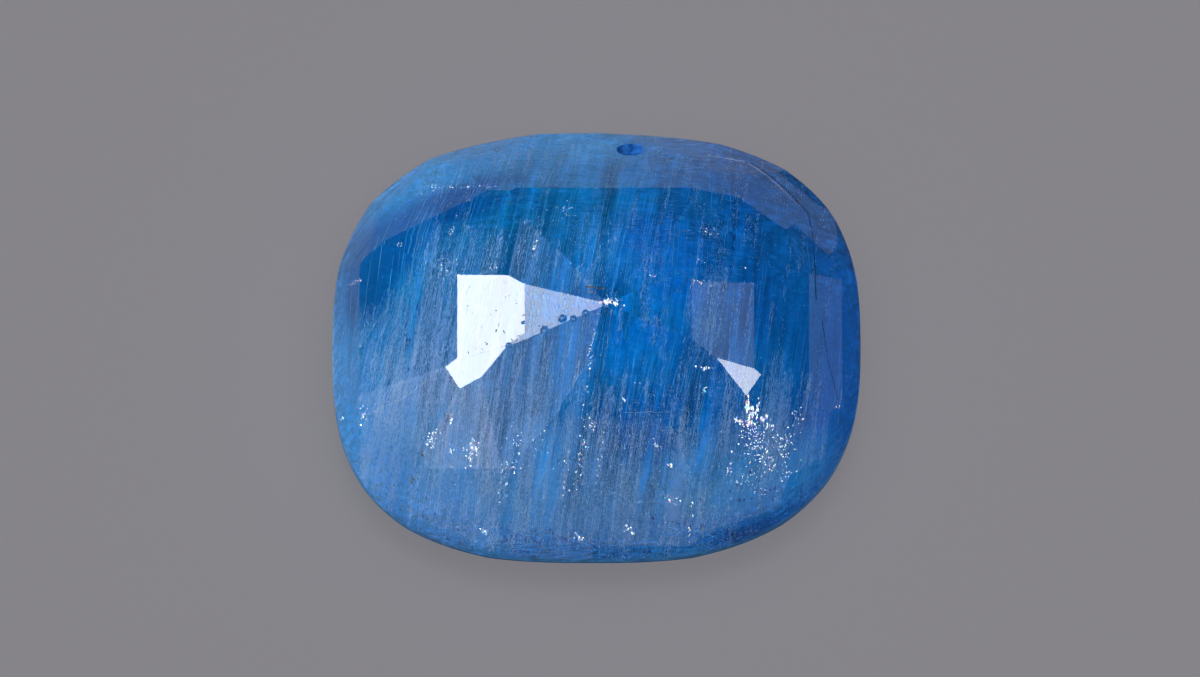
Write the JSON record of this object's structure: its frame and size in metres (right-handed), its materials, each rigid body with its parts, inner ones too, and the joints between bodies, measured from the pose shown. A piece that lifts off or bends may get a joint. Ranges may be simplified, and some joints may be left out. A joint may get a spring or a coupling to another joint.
{
  "type": "faceted sapphire gemstone",
  "caption": "Loose blue sapphire cut as a rounded rectangular cushion with a stepped pavilion, lying on its table facet.",
  "frame": {"origin": "middle of the stone's outline, in the plane of its table facet, which is its lowest face", "axes": "+X along the longer side of the outline, +Y along the shorter side, +Z out of the table through the stone towards the culet, so -Z is the way the table faces"},
  "size_m": [0.012, 0.0098, 0.0063],
  "materials": {
    "sapphire": "polished"
  },
  "bodies": {
    "root": {"sapphire": "sapphire"}
  },
  "joints": []
}
